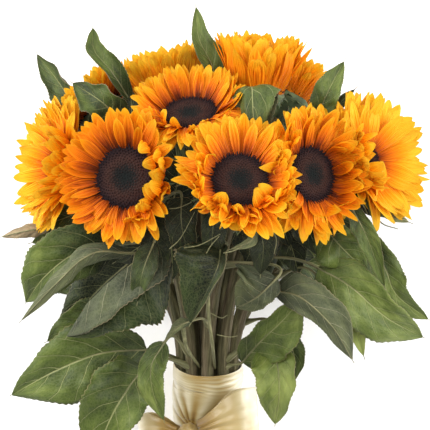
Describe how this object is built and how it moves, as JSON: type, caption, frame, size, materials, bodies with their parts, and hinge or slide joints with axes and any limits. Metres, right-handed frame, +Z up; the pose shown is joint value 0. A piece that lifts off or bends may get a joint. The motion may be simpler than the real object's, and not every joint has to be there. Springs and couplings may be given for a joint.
{
  "type": "cut sunflower bouquet",
  "caption": "Hand-tied bouquet of cut sunflowers with large leaves, its stems wrapped in ivory satin ribbon with a bow, lying on its back.",
  "frame": {"origin": "under the middle of the bunch, at its lowest point, on the surface it lies on", "axes": "+X to the right of the bunch, +Y from the cut stem ends to the blooms, +Z up, out of the side that shows"},
  "size_m": [0.437, 0.543, 0.3002],
  "materials": {
    "petal": "soft orange-yellow sunflower petals round a dark seed disc",
    "stem": "rough ridged olive-brown stem",
    "leaf": "matt dark green leaf",
    "ribbon": "ivory satin ribbon"
  },
  "bodies": {
    "root": {"stem_front_centre": "stem", "stem_front_left": "stem", "stem_front_right": "stem", "stem_top_left": "stem", "stem_top_right": "stem", "stem_far_left": "stem", "stem_far_right": "stem", "stem_back_left": "stem", "stem_back_top": "stem", "stem_back_right": "stem", "stem_under_left": "stem", "stem_under_right": "stem", "stem_under_top": "stem", "stem_side_left": "stem", "stem_side_right": "stem", "stem_side_under": "stem", "ribbon_wrap": "ribbon", "bloom_front_centre": "petal", "bloom_front_left": "petal", "bloom_front_right": "petal", "bloom_top_left": "petal", "bloom_top_right": "petal", "bloom_far_left": "petal", "bloom_far_right": "petal", "bloom_back_left": "petal", "bloom_back_top": "petal", "bloom_back_right": "petal", "bloom_under_left": "petal", "bloom_under_right": "petal", "bloom_under_top": "petal", "leaf_top": "leaf", "leaf_tall_left": "leaf", "leaf_broad_left": "leaf", "leaf_bent_left": "leaf", "leaf_folded_over": "leaf", "leaf_top_right": "leaf", "leaf_far_left_tip": "leaf", "leaf_left_serrated": "leaf", "leaf_left_curled": "leaf", "leaf_left_behind": "leaf", "leaf_left_twisted": "leaf", "leaf_low_left": "leaf", "leaf_low_front": "leaf", "leaf_hanging_left": "leaf", "leaf_dark_centre": "leaf", "leaf_grey_right": "leaf", "leaf_big_right": "leaf", "leaf_far_right": "leaf", "leaf_narrow_right": "leaf", "leaf_under_front_right": "leaf", "leaf_low_right": "leaf", "leaf_arching_right": "leaf", "leaf_hanging_right": "leaf", "leaf_under_left": "leaf", "leaf_under_right": "leaf", "bow_knot": "ribbon", "bow_loop_right": "ribbon", "bow_loop_left": "ribbon", "bow_tail_left": "ribbon", "bow_tail_right": "ribbon"}
  },
  "joints": []
}
